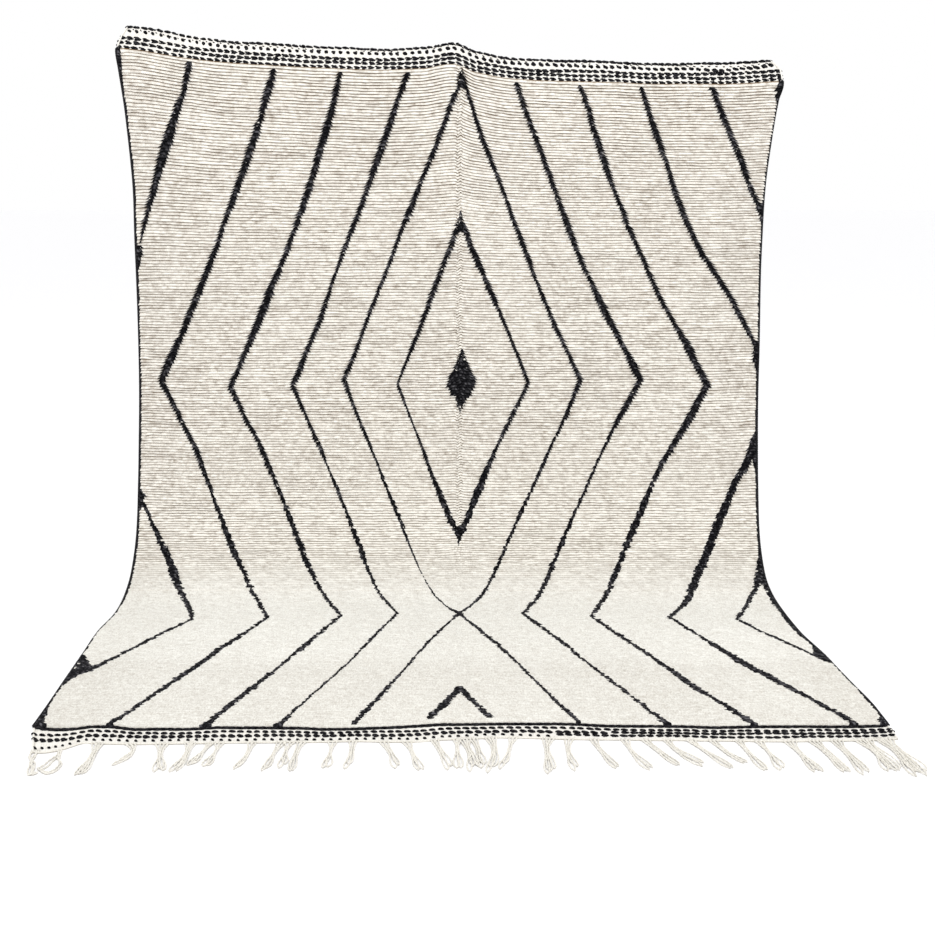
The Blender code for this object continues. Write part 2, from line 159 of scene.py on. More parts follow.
# The black marks, knot by knot, as rows of down, middle across and width, in mm
CHART = {
    "left edge top": [(78, -1291, 13), (110, -1291, 13), (200, -1296, 4)],
    "right edge top": [(78, 1222, 16), (100, 1219, 20), (140, 1223, 12), (175, 1228, 4)],
    "top apex": [(92, 3, 12), (113, 3, 28), (130, 4, 38), (148, 4, 46)],
    "left 1 upper": [
        (85, -1034, 28), (190, -1068, 21), (250, -1101, 33), (310, -1126, 33), (370, -1152, 46),
        (480, -1197, 33), (590, -1239, 27), (660, -1261, 22), (735, -1284, 10),
    ],
    "left edge upper": [(740, -1290, 26), (785, -1289, 28), (800, -1292, 18), (835, -1295, 7)],
    "left edge middle": [(1730, -1295, 8), (1770, -1290, 26), (1820, -1294, 10)],
    "left 1 lower": [
        (1790, -1285, 20), (1850, -1254, 20), (1920, -1223, 26), (2000, -1183, 35), (2120, -1137, 38),
        (2240, -1093, 29), (2370, -1044, 20), (2478, -1002, 19), (2500, -999, 16), (2590, -1046, 20),
        (2694, -1105, 17), (2830, -1182, 18), (2935, -1244, 27),
    ],
    "left edge lower": [
        (2812, -1294, 6), (2860, -1283, 24), (2905, -1266, 48), (2935, -1270, 58), (2970, -1282, 36),
        (3000, -1290, 18), (3040, -1295, 6),
    ],
    "left corner": [(3200, -1297, 4), (3240, -1293, 12), (3275, -1289, 22), (3308, -1283, 36)],
    "right corner": [(3260, 1226, 4), (3285, 1222, 12), (3308, 1218, 20)],
    "left 2": [
        (90, -712, 22), (170, -741, 33), (255, -774, 22), (330, -801, 32), (520, -882, 30),
        (595, -914, 28), (671, -947, 20), (730, -967, 24), (920, -1050, 31), (1100, -1127, 28),
        (1220, -1184, 41), (1285, -1213, 29), (1366, -1169, 25), (1470, -1118, 23), (1573, -1065, 26),
        (1656, -1038, 24), (1757, -1001, 19), (1877, -957, 27), (2000, -910, 30), (2110, -861, 23),
        (2300, -791, 20), (2485, -722, 17), (2610, -765, 19), (2737, -826, 25), (2860, -875, 26),
        (2975, -924, 23), (3090, -977, 20), (3200, -1022, 18), (3270, -1052, 22), (3308, -1072, 26),
    ],
    "left 3": [
        (90, -461, 20), (190, -489, 27), (330, -536, 34), (480, -588, 26), (550, -612, 32),
        (690, -667, 21), (790, -706, 24), (890, -754, 31), (970, -783, 38), (1056, -820, 32),
        (1160, -865, 24), (1310, -930, 25), (1430, -872, 22), (1530, -818, 22), (1610, -784, 26),
        (1740, -732, 21), (1860, -685, 26), (1980, -640, 31), (2106, -594, 23), (2330, -508, 19),
        (2465, -449, 16), (2606, -497, 19), (2754, -553, 21), (2930, -620, 15), (3052, -672, 27),
        (3180, -726, 21), (3270, -762, 22), (3308, -780, 24),
    ],
    "left 4": [
        (90, -203, 24), (240, -262, 25), (400, -324, 31), (490, -359, 22), (620, -409, 24),
        (740, -459, 21), (870, -510, 15), (1030, -563, 24), (1130, -608, 21), (1240, -651, 28),
        (1300, -679, 23), (1343, -662, 20), (1446, -616, 16), (1550, -571, 22), (1630, -539, 13),
        (1736, -496, 18), (1870, -445, 21), (1970, -408, 30), (2106, -365, 17), (2245, -319, 16),
        (2446, -239, 12), (2560, -277, 13), (2711, -326, 12), (2875, -380, 9), (3090, -467, 10),
        (3200, -514, 13), (3270, -539, 16), (3308, -554, 26),
    ],
    "left 5": [
        (138, -7, 19), (160, -12, 15), (176, -23, 21), (270, -55, 21), (372, -100, 23), (485, -153, 22),
        (611, -207, 27), (700, -244, 19), (795, -279, 18), (927, -334, 19), (1024, -373, 17),
        (1160, -422, 19), (1275, -471, 24), (1370, -438, 16), (1487, -391, 18), (1615, -338, 14),
        (1694, -311, 18), (1850, -248, 19), (1977, -203, 14), (2123, -153, 9), (2277, -99, 11),
        (2380, -50, 9), (2442, -5, 22), (2500, -29, 10), (2610, -77, 13), (2819, -153, 10),
        (2945, -194, 10), (3062, -237, 15), (3172, -277, 19), (3300, -329, 23),
    ],
    "right 5": [
        (138, 18, 19), (162, 28, 18), (176, 32, 23), (205, 45, 21), (302, 81, 22), (420, 132, 22),
        (500, 167, 18), (610, 208, 20), (769, 272, 24), (866, 306, 18), (995, 361, 19), (1080, 399, 24),
        (1191, 453, 20), (1280, 495, 24), (1437, 430, 19), (1553, 373, 15), (1652, 331, 20),
        (1778, 273, 18), (1894, 220, 21), (2030, 167, 20), (2187, 114, 17), (2277, 83, 17),
        (2377, 36, 11), (2442, -5, 22), (2500, 20, 11), (2578, 61, 18), (2720, 126, 18),
        (2860, 182, 12), (3104, 270, 12), (3200, 304, 15), (3275, 327, 19), (3308, 342, 14),
    ],
    "right 4": [
        (90, 215, 20), (170, 247, 23), (410, 344, 24), (500, 378, 21), (650, 435, 28), (752, 475, 24),
        (820, 504, 23), (879, 535, 21), (951, 568, 32), (1040, 613, 33), (1138, 668, 24),
        (1215, 710, 35), (1280, 742, 28), (1335, 711, 29), (1400, 676, 33), (1499, 622, 18),
        (1598, 575, 16), (1736, 515, 19), (1860, 460, 20), (1953, 422, 28), (2062, 379, 23),
        (2285, 305, 21), (2443, 238, 18), (2513, 270, 22), (2624, 321, 14), (2730, 369, 20),
        (2844, 407, 13), (3048, 491, 16), (3244, 568, 15), (3308, 597, 27),
    ],
    "right 3": [
        (90, 460, 21), (190, 506, 24), (235, 517, 25), (394, 578, 30), (493, 616, 19), (590, 660, 22),
        (644, 677, 27), (760, 733, 20), (931, 813, 24), (1020, 861, 21), (1060, 885, 24),
        (1130, 930, 38), (1199, 964, 32), (1300, 1017, 33), (1446, 941, 39), (1532, 889, 33),
        (1635, 828, 27), (1710, 795, 22), (1778, 766, 34), (1917, 707, 35), (2001, 673, 28),
        (2135, 625, 27), (2285, 571, 23), (2469, 494, 18), (2560, 535, 18), (2694, 591, 19),
        (2795, 630, 19), (2891, 668, 19), (3012, 713, 29), (3097, 746, 25), (3192, 794, 19),
        (3270, 828, 26), (3308, 842, 22),
    ],
    "right 2 upper": [
        (90, 698, 18), (160, 732, 23), (261, 772, 29), (400, 831, 19), (501, 865, 26), (610, 909, 27),
        (700, 951, 25), (768, 988, 29), (867, 1055, 26), (949, 1113, 27), (1031, 1158, 27),
        (1130, 1213, 18), (1185, 1228, 24),
    ],
    "right edge upper": [(1120, 1228, 4), (1150, 1222, 22), (1195, 1220, 26), (1250, 1227, 7)],
    "right edge middle": [
        (1490, 1228, 6), (1530, 1221, 36), (1560, 1218, 44), (1620, 1223, 18), (1670, 1227, 6),
    ],
    "right 2 lower": [
        (1550, 1218, 42), (1640, 1183, 44), (1680, 1152, 36), (1750, 1121, 37), (1842, 1080, 44),
        (1953, 1035, 42), (2078, 982, 43), (2222, 924, 36), (2321, 885, 27), (2400, 842, 24),
        (2476, 789, 19), (2588, 832, 15), (2680, 869, 15), (2737, 886, 26), (2860, 929, 33),
        (2997, 993, 36), (3118, 1052, 22), (3200, 1089, 18), (3263, 1120, 24), (3308, 1133, 26),
    ],
    "right 1 upper": [
        (82, 964, 23), (198, 1029, 28), (295, 1079, 25), (380, 1124, 31), (504, 1179, 24),
        (564, 1210, 23), (625, 1228, 18),
    ],
    "right edge bend": [
        (1960, 1227, 6), (2020, 1225, 10), (2090, 1218, 28), (2150, 1213, 34), (2190, 1219, 20),
        (2250, 1221, 15), (2620, 1222, 13), (2740, 1224, 8), (2785, 1217, 18), (2812, 1209, 30),
        (2845, 1212, 28), (2870, 1223, 10),
    ],
    "right 1 lower": [
        (2110, 1212, 34), (2194, 1192, 28), (2285, 1144, 21), (2400, 1090, 18), (2498, 1041, 18),
        (2600, 1087, 17), (2694, 1138, 18), (2780, 1178, 16), (2860, 1216, 18),
    ],
    "diamond apex": [(598, 1, 6), (630, 2, 19), (648, 1, 28), (656, 1, 44), (682, 3, 62)],
    "diamond left": [
        (680, -17, 24), (726, -34, 23), (792, -60, 21), (895, -100, 25), (1081, -169, 21),
        (1203, -219, 16), (1296, -255, 15), (1347, -235, 15), (1462, -192, 12), (1577, -147, 17),
        (1677, -113, 20), (1795, -65, 33), (1855, -41, 29), (1888, -31, 29),
    ],
    "diamond right": [
        (680, 22, 28), (726, 37, 22), (795, 70, 29), (859, 98, 23), (915, 123, 26), (1020, 168, 18),
        (1158, 228, 16), (1290, 279, 20), (1347, 253, 19), (1446, 203, 23), (1544, 155, 17),
        (1669, 101, 32), (1744, 70, 34), (1803, 48, 32), (1888, 15, 26),
    ],
    "diamond foot": [
        (1886, -3, 60), (1905, -2, 62), (1926, -3, 42), (1937, -6, 26), (1948, -6, 18), (1980, -8, 6),
    ],
    "centre": [
        (1130, 7, 4), (1170, 7, 18), (1200, 6, 43), (1246, 8, 82), (1268, 7, 112), (1298, 4, 120),
        (1320, 2, 98), (1345, 3, 78), (1360, 2, 50), (1382, 1, 32), (1407, -1, 11), (1425, -3, 6),
    ],
    "chevron left": [
        (3048, -3, 12), (3085, -10, 25), (3124, -28, 24), (3179, -50, 28), (3205, -66, 27),
        (3285, -98, 21),
    ],
    "chevron right": [
        (3048, -3, 12), (3085, 8, 24), (3152, 33, 18), (3179, 48, 20), (3257, 78, 22), (3285, 85, 15),
    ],
}

# The ground cloth, and the twined rows of the two kilims
KILIM_STEP = 0.0030  # from rib to rib of the flat weave
CLOTH_THICK = 0.0034
RIB = 0.0008
LEAF = np.array([-1.0, -0.78, -0.42, 0.0, 0.42, 0.78, 1.0])  # stations along a stitch
STITCH_STRAY, TILT_STRAY, STATION_STRAY = 0.0010, 0.0008, 0.0004  # how uneven the stitches are
TOP_LEAF, FOOT_LEAF = (0.0033, 0.0018), (0.0042, 0.0046)  # a stitch's half height and middle height
CURL_ROOM = 0.05  # how far from its ends a twined row curls up
TOP_TWINING = [
    # down, from, to, pitch, share that shows, half width, strands, slant, stray, curl at both ends
    (0.0022, -1.310, 1.240, 0.0280, 1.10, 0.0058, 1, 0.0014, 0.0010, 0.000),
    (0.0100, -1.290, 1.222, 0.0280, 0.34, 0.0024, 1, 0.0010, 0.0020, 0.000),
    (0.0192, -1.300, 1.230, 0.0280, 0.66, 0.0076, 1, 0.0034, 0.0022, 0.000),
    (0.0380, -1.310, 1.240, 0.0280, 1.14, 0.0086, 2, 0.0016, 0.0010, 0.000),
    (0.0538, -1.310, 1.240, 0.0280, 1.14, 0.0086, 2, 0.0016, 0.0010, 0.000),
    (0.0695, -1.310, 1.240, 0.0280, 1.04, 0.0080, 2, 0.0016, 0.0012, 0.002),
]
FOOT_TWINING = [
    (3.3150, -1.304, 1.234, 0.0230, 1.75, 0.0068, 2, 0.0012, 0.0010, 0.010),
    (3.3390, -1.312, 1.242, 0.0254, 0.78, 0.0052, 1, 0.0020, 0.0014, 0.004),
    (3.3630, -1.312, 0.420, 0.0254, 0.84, 0.0090, 2, 0.0014, 0.0014, 0.004),
    (3.3585, 0.430, 1.242, 0.0254, 0.92, 0.0066, 2, 0.0014, 0.0012, 0.004),
    (3.3870, -1.310, 0.260, 0.0254, 0.42, 0.0036, 1, 0.0026, 0.0022, 0.000),
    (3.3800, 0.270, 1.238, 0.0254, 0.84, 0.0054, 2, 0.0018, 0.0014, 0.004),
]
FOOT_START = 3.170
FOOT_WAVE = np.array([
    # across, how far the end of the pile strays down, how far the end of the rug does, in mm
    (-1310, -4, 48), (-1270, 0, 52), (-1210, 6, 40), (-1170, 1, 22), (-1120, -9, -4),
    (-1070, -8, 0), (-980, 8, 3), (-850, 8, 1), (-700, -3, -3), (-500, 0, -8), (-410, 8, -10),
    (-300, 5, -13), (-140, -9, -8), (-50, -22, -22), (130, -24, -33), (290, -24, -28),
    (430, -11, -22), (620, -8, -19), (740, -1, -16), (860, -7, -13), (1120, -9, -18),
    (1240, -12, -29),
]) / 1000
CORNER_START, CORNER_PULL = -1.100, 0.050  # left of this place the last corner is drawn in

# The wound sides, and the tassels of the lower end
WRAP = 0.0075  # from turn to turn of the overcasting
WRAP_STATIONS, WRAP_SIDES = 3, 7
PLAIN_RADIUS, PLAIN_HEIGHT = 0.0038, 0.0041  # of the edges beside the kilims
PLY_TWIST = 0.034
PLY_RADIUS, PLY_APART = 0.0017, 0.0013
STRAND_HEIGHT = 0.0042
LOOP_APART, LOOP_WAIST = 0.0075, 0.0030  # between a tassel's loops: more at root and tip than between
LEG_ROOT, LEG_WAIST, LEG_TIP = 0.0040, 0.0026, (0.0022, 0.0062)  # half the gap inside a loop
LOOP_WAVE, LOOP_LIFT, LEG_LIFT = 0.0016, 0.0020, 0.0012
LAST_CORD = 0.0030
TASSELS = np.array([
    # root x, middle dx, tip dx and reach, in mm
    (-1040, 10, 2, 172), (-950, 25, -5, 120), (-855, 15, 30, 155), (-775, 5, -10, 155),
    (-718, -10, -30, 120), (-692, 0, -10, 125), (-596, -5, -20, 140), (-515, -10, -25, 150),
    (-488, -5, -3, 135), (-455, -8, -8, 150), (-367, 0, -5, 135), (-308, 0, -5, 140),
    (-222, 25, 48, 135), (-156, 23, 48, 145), (-76, 24, 45, 145), (-10, 2, 5, 135),
    (12, 14, 25, 155), (34, 18, 27, 135), (85, 10, -3, 160), (154, -18, -40, 140),
    (255, -10, -8, 165), (316, -12, 2, 150), (387, 12, 45, 135), (473, 15, 48, 145),
    (531, 30, 70, 120), (595, 22, 75, 125), (659, 40, 85, 135), (724, 24, 65, 107),
    (801, 14, 33, 145), (859, 11, 22, 145), (946, 11, 32, 155), (1017, 18, 37, 155),
    (1082, 8, 20, 170), (1161, 13, 28, 150), (1222, 12, 32, 180),
]) / 1000
LOOSE_STRANDS = [
    # x and reach past the end of the rug, in mm
    [(-1135, 40), (-1123, 84), (-1101, 119), (-1104, 149), (-1124, 167), (-1158, 142)],
    [(-1130, 40), (-1118, 86), (-1108, 119), (-1110, 144), (-1128, 160), (-1154, 134)],
    [(-1136, 40), (-1132, 64), (-1142, 93), (-1150, 125), (-1160, 140)],
    [(-1128, 40), (-1125, 70), (-1132, 100), (-1136, 128), (-1150, 150)],
    [(-1214, 40), (-1204, 76), (-1182, 120), (-1166, 168), (-1160, 172), (-1158, 160)],
    [(-1206, 40), (-1208, 72), (-1186, 110), (-1184, 142), (-1170, 174), (-1164, 166)],
    [(-1198, 40), (-1190, 80), (-1192, 112), (-1168, 140), (-1168, 170), (-1160, 166)],
    [(-1190, 40), (-1196, 84), (-1174, 118), (-1172, 146), (-1156, 166), (-1152, 158)],
]

# Shares of the wool's tone that come from its lumps and its fibres
LUMP_TONE, FIBRE_TONE = 0.12, 0.70

# Surroundings and view
FLOOR_REACH = 60.0
CAMERA_BACK, CAMERA_HEIGHT = 4.506, 1.56  # in front of the held top edge, and above the floor
CAMERA_TILT = 14.5  # degrees down


# ------------ the shape of the cloth


def smooth(t):
    """0 below 0, 1 above 1, and an even S between."""
    t = np.clip(t, 0.0, 1.0)
    return t * t * (3.0 - 2.0 * t)


def ramp(x, start, end):
    """0 at the start, 1 at the end, and an even S between."""
    return smooth((x - start) / (end - start))


def bell(x):
    """1 at 0, and near 0 from 2 away on both sides."""
    return np.exp(-(x**2))


def between(table, x, column=1):
    """Reads a column of a table at x, on a smooth line that doesn't overshoot its rows."""
    xs = np.array([row[0] for row in table])
    ys = np.array([row[column] for row in table])
    step = np.diff(xs)
    rate = np.diff(ys) / step
    before, after = rate[:-1], rate[1:]
    level = before * after <= 0
    inner = np.where(level, 0.0, 2 * before * after / np.where(level, 1.0, before + after))
    slope = np.concatenate([rate[:1], inner, rate[-1:]])
    x = np.clip(x, xs[0], xs[-1])
    i = np.clip(np.searchsorted(xs, x, side="right") - 1, 0, len(step) - 1)
    t = (x - xs[i]) / step[i]
    rise = smooth(t)
    bend = step[i] * t * (1 - t) * ((1 - t) * slope[i] - t * slope[i + 1])
    return ys[i] * (1 - rise) + ys[i + 1] * rise + bend


def centre_profile(samples=3404):
    """Depth and height down the middle of the rug, from the slope of the cloth."""
    down = np.linspace(0.0, LENGTH, samples)
    slope = LEAN * ramp(down, LEAN_START, BEND_START)
    slope = slope + (np.pi / 2 - LEAN) * ramp(down, BEND_START, BEND_END)
    part = down[1] / 2
    forward, fall = np.sin(slope), np.cos(slope)
    depth = -np.concatenate([[0.0], np.cumsum((forward[1:] + forward[:-1]) * part)])
    height = np.concatenate([np.cumsum(((fall[1:] + fall[:-1]) * part)[::-1])[::-1], [0.0]])
    return down, depth, height


PROFILE = centre_profile()
DEPTH = PROFILE[1].min()


def frame_offset():
    """From the sheet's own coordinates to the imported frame, read off the lower kilim."""
    low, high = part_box("kilim_bottom")
    inner = (RIGHT_SIDE - CORD_SLOT - GAP) / RIGHT_SIDE
    return np.array([high[0] - SIDES[-1][2] * inner, low[1] - DEPTH, 0.0])


OFFSET = frame_offset()


def back_point(across, down):
    """A point on the back of the rug, which lies on the floor past the bend."""
    across, down = np.broadcast_arrays(across, down)
    share = np.where(across < 0, across / LEFT_SIDE, across / RIGHT_SIDE)
    side = np.where(across < 0, between(SIDES, down, 1), between(SIDES, down, 2))
    depth = np.interp(down, PROFILE[0], PROFILE[1])
    height = np.interp(down, PROFILE[0], PROFILE[2])
    curl = smooth(down / CURL_FULL) * (1 - ramp(down, *CURL_FADE))
    depth = depth + CURL_BACK * curl * smooth((share - 1 + CURL_SHARE) / CURL_SHARE)
    for middle, half_width, forward, end in FOLDS:
        depth = depth - forward * (1 - smooth(down / end)) * bell((across - middle) / half_width)
    height = height + between(TOP_EDGE, across) * (1 - smooth(down / RISE_REACH))
    return np.stack([share * side, depth, height], -1)


def unit(vectors):
    """The vectors at a length of 1."""
    return vectors / np.linalg.norm(vectors, axis=-1, keepdims=True)


def directions(across, down, reach=0.002):
    """Unit vectors at a place on the rug: across it, and out of its pile side."""
    low, high = np.maximum(down - reach, 0.0), np.minimum(down + reach, LENGTH)
    along = back_point(across, high) - back_point(across, low)
    over = unit(back_point(across + reach, down) - back_point(across - reach, down))
    return over, unit(np.cross(along, over))


def foot_shift(across, down):
    """How far a place near the lower end lies from where a straight end would have it."""
    share = np.clip((down - FIELD_END) / (LENGTH - FIELD_END), 0, 1)
    pile_end, rug_end = between(FOOT_WAVE, across, 1), between(FOOT_WAVE, across, 2)
    longer = (pile_end * (1 - share) + rug_end * share) * ramp(down, FOOT_START, FIELD_END)
    return CORNER_PULL * share * ramp(across, CORNER_START, LEFT_SIDE), longer


def on_cloth(across, down, height):
    """Points in the frame, at a height out of the back of the rug."""
    across, down, height = np.broadcast_arrays(across, down, height)
    inward, longer = foot_shift(across, down)
    across, down = across + inward, down + longer
    held = np.clip(down, 0.0, LENGTH)
    over, out = directions(across, held)
    past = (down - held)[..., None] * np.array([0.0, -1.0, 0.0])
    return back_point(across, held) + out * height[..., None] + past + OFFSET


# ------------ meshes from arrays


def new_mesh(name, points, face_groups, attributes):
    """A smooth-shaded mesh object from point and face arrays, without the points no face uses."""
    corners = np.concatenate([group.ravel() for group in face_groups])
    used, corners = np.unique(corners, return_inverse=True)
    sizes = np.concatenate([np.full(len(group), group.shape[1]) for group in face_groups])
    mesh = bpy.data.meshes.new(name)
    mesh.vertices.add(len(used))
    mesh.vertices.foreach_set("co", points.reshape(-1, 3)[used].astype(np.float32).ravel())
    mesh.loops.add(len(corners))
    mesh.loops.foreach_set("vertex_index", corners.astype(np.int32))
    mesh.polygons.add(len(sizes))
    starts = np.concatenate([[0], np.cumsum(sizes)[:-1]])
    mesh.polygons.foreach_set("loop_start", starts.astype(np.int32))
    mesh.polygons.foreach_set("use_smooth", np.ones(len(sizes), bool))
    mesh.update(calc_edges=True)
    for key, values in attributes.items():
        kind, item, size = ("FLOAT_VECTOR", "vector", 3) if key == "place" else ("FLOAT", "value", 1)
        layer = mesh.attributes.new(key, kind, "POINT")
        layer.data.foreach_set(item, values.reshape(-1, size)[used].astype(np.float32).ravel())
    piece = bpy.data.objects.new(name, mesh)
    bpy.context.collection.objects.link(piece)
    return piece


def finish(piece, made, slot, *nodes):
    """Gives a piece its material and the body it rides on, and hides the nodes it stands for; the slot
    is not used.
    """
    piece.data.materials.append(made)
    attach(piece, "root")
    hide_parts(*nodes)
    return piece


def grid_faces(rows, columns):
    """The quads between the points of a grid, as an array of rows, columns and four corners."""
    at = np.arange(rows * columns).reshape(rows, columns)
    return np.stack([at[:-1, :-1], at[1:, :-1], at[1:, 1:], at[:-1, 1:]], -1)


def tube_faces(count, stations, sides):
    """The walls and the ends of closed tubes whose points come ring after ring."""
    at = np.arange(count * stations * sides).reshape(count, stations, sides)
    after = np.roll(at, -1, axis=2)
    walls = np.stack([at[:, :-1], at[:, 1:], after[:, 1:], after[:, :-1]], -1).reshape(-1, 4)
    return [walls, np.concatenate([at[:, 0], at[:, -1, ::-1]])]


def tube(path, up, half_width, half_height, sides=6):
    """Closed tubes along paths, an array of tubes, stations and xyz, as points and face groups."""
    count, stations = path.shape[:2]
    tangent = unit(np.gradient(path, axis=1))
    side = unit(np.cross(tangent, up))
    lift = np.cross(side, tangent)
    turn = (np.arange(sides) * 2 * np.pi / sides)[:, None]
    wide = np.broadcast_to(half_width, (count, stations))[..., None, None]
    high = np.broadcast_to(half_height, (count, stations))[..., None, None]
    rings = path[:, :, None] + side[:, :, None] * np.cos(turn) * wide
    rings = rings + lift[:, :, None] * np.sin(turn) * high
    return rings, tube_faces(count, stations, sides)


def joined(parts):
    """Several lots of points and face groups as one."""
    points, groups, start = [], [], 0
    for some, faces in parts:
        some = some.reshape(-1, 3)
        points.append(some)
        groups += [group + start for group in faces]
        start += len(some)
    return np.concatenate(points), groups


def wander(rng, size, along, over=0.0):
    """Random numbers with a spread of 1, smoothed over some places along a row and some rows."""
    waves = np.fft.rfft2(rng.standard_normal(size))
    pass_along = bell(np.pi * along * np.fft.rfftfreq(size[1]))
    pass_over = bell(np.pi * over * np.fft.fftfreq(size[0]))
    even = np.fft.irfft2(waves * pass_over[:, None] * pass_along, size)
    return even / even.std()


# ------------ materials


def shader_tree(name, roughness, sheen, gloss=0.15):
    """A new material with its shader's constant values set."""
    made = bpy.data.materials.new(name)
    made.use_nodes = True
    shader = made.node_tree.nodes["Principled BSDF"]
    shader.inputs["Roughness"].default_value = roughness
    shader.inputs["Specular IOR Level"].default_value = gloss
    shader.inputs["Sheen Weight"].default_value = sheen
    shader.inputs["Sheen Roughness"].default_value = 0.6
    return made, made.node_tree, shader


def add_node(tree, kind, values=(), **settings):
    """A shader node with its settings and the values or links of its inputs."""
    node = tree.nodes.new("ShaderNode" + kind)
    for key, value in settings.items():
        setattr(node, key, value)
    for key, value in dict(values).items():
        if isinstance(value, bpy.types.NodeSocket):
            tree.links.new(value, node.inputs[key])
        else:
            node.inputs[key].default_value = value
    return node


def texture(tree, kind, scale, detail, stretch=(1, 1, 1), bend=0.0, **settings):
    """A texture over the rug in metres, stretched by a number for each axis."""
    place = add_node(tree, "Attribute", attribute_name="place").outputs["Vector"]
    put = add_node(tree, "VectorMath", {0: place, 1: stretch}, operation="MULTIPLY")
    inputs = {"Vector": put.outputs["Vector"], "Scale": scale, "Detail": detail, "Distortion": bend}
    return add_node(tree, kind, inputs, **settings).outputs["Fac"]


def reckoned(tree, operation, *numbers, clamp=False):
    """The result of a sum, from numbers or links."""
    inputs = enumerate(numbers)
    node = add_node(tree, "Math", inputs, operation=operation, use_clamp=clamp)
    return node.outputs["Value"]


def mixed(tree, share, low, high):
    """The colour at a share between two colours or links."""
    low, high = (end if isinstance(end, bpy.types.NodeSocket) else (*end, 1.0) for end in (low, high))
    inputs = {"Factor": share, "A": low, "B": high}
    return add_node(tree, "Mix", inputs, data_type="RGBA").outputs["Result"]


def covered(tree, shader, colour, relief, depth):
    """Links a colour into the shader, and a relief of so many metres."""
    bump = add_node(tree, "Bump", {"Height": relief, "Strength": 0.6, "Distance": depth})
    tree.links.new(colour, shader.inputs["Base Color"])
    tree.links.new(bump.outputs["Normal"], shader.inputs["Normal"])


def wool(name, light, standing_colour, shaded, fibres, lumps, sheen, depth, gloss=0.15):
    """Spun wool: painted shade and light by tone, a painted warmth where the tufts hang, tone from knot
    to knot, and fine fibres.
    """
    made, tree, shader = shader_tree(name, 0.95, sheen, gloss)
    tone = add_node(tree, "Attribute", attribute_name="tone").outputs["Fac"]
    ends = add_node(tree, "Attribute", attribute_name="ends").outputs["Fac"]
    slow = texture(tree, "TexNoise", lumps, 3.0)
    fine = texture(tree, "TexNoise", fibres, 2.0, (1.0, 0.5, 1.0))
    share = reckoned(tree, "MULTIPLY_ADD", slow, LUMP_TONE, tone)
    share = reckoned(tree, "MULTIPLY_ADD", fine, FIBRE_TONE, share)
    share = reckoned(tree, "SUBTRACT", share, (LUMP_TONE + FIBRE_TONE) / 2, clamp=True)
    # from painted shade up to the lit colour, which has a painted warmth where the tufts hang
    colour = mixed(tree, share, shaded, mixed(tree, ends, light, standing_colour))
    covered(tree, shader, colour, fine, depth)
    return made


def woven(name, light, shaded):
    """Flat weave: weft ribs crossed by warps, in relief, with faint painted shade in the hollows between
    them.
    """
    made, tree, shader = shader_tree(name, 0.95, 0.15)
    weft = texture(tree, "TexWave", 65.0, 1.0, bend=1.2, bands_direction="Y")
    warp = texture(tree, "TexWave", 32.0, 1.0, bend=1.5, bands_direction="X")
    slow = texture(tree, "TexNoise", 60.0, 3.0)
    relief = reckoned(tree, "MULTIPLY", weft, warp)
    share = reckoned(tree, "MULTIPLY_ADD", relief, 0.5, slow, clamp=True)
    covered(tree, shader, mixed(tree, share, shaded, light), relief, RIB)
    return made


# Wool colours: where the cream hangs it is painted warmer, for light bounced between its rows, and each
# wool darkens towards a painted shade colour
CREAM_PAINTED_WARM, CREAM_STANDING, CREAM_PAINTED_SHADE = (0.90, 0.868, 0.800), (0.90, 0.898, 0.846), (0.15, 0.085, 0.028)
BLACK_SIDE, BLACK_PAINTED_SHADE = (0.115, 0.112, 0.122), (0.002, 0.002, 0.003)
YARN_SIDE, YARN_PAINTED_SHADE = (0.88, 0.86, 0.80), (0.34, 0.30, 0.24)
CREAM_LOOK = {"fibres": 230.0, "lumps": 45.0, "sheen": 0.10, "depth": 0.0010}
BLACK_LOOK = {"fibres": 300.0, "lumps": 30.0, "sheen": 0.0, "depth": 0.0008, "gloss": 0.05}
YARN_LOOK = {"fibres": 380.0, "lumps": 60.0, "sheen": 0.10, "depth": 0.0005}
CREAM = wool("cream_wool", CREAM_PAINTED_WARM, CREAM_STANDING, CREAM_PAINTED_SHADE, **CREAM_LOOK)
BLACK = wool("black_wool", BLACK_SIDE, BLACK_SIDE, BLACK_PAINTED_SHADE, **BLACK_LOOK)
YARN = wool("fringe_yarn", YARN_SIDE, YARN_SIDE, YARN_PAINTED_SHADE, **YARN_LOOK)
# its second colour is the painted shade in the hollows of the weave
WEAVE = woven("flat_weave", (0.90, 0.88, 0.84), (0.66, 0.63, 0.56))


# ------------ the pile


def spaced(start, end, count, close):
    """Places from start to end, closer together about the middles given as middle, reach, gain."""
    x = np.linspace(start, end, 4001)
    density = 1 + sum(gain * bell((x - middle) / reach) for middle, reach, gain in close)
    total = np.cumsum(density)
    return np.interp(np.linspace(total[0], total[-1], count + 1), total, x)


FIELD_LEFT = LEFT_SIDE + CORD_SLOT
FIELD_RIGHT = RIGHT_SIDE - CORD_SLOT
COLUMNS = spaced(FIELD_LEFT, FIELD_RIGHT, KNOTS, [(CREASE, 0.016, 2.4)])
NEAR_SIDE = np.minimum(COLUMNS - FIELD_LEFT, FIELD_RIGHT - COLUMNS)


def hanging_share(down):
    """1 where the tufts droop in rows, 0 where they stand upright, and between round the bend."""
    return 1 - ramp(down, *ROWS_FADE)


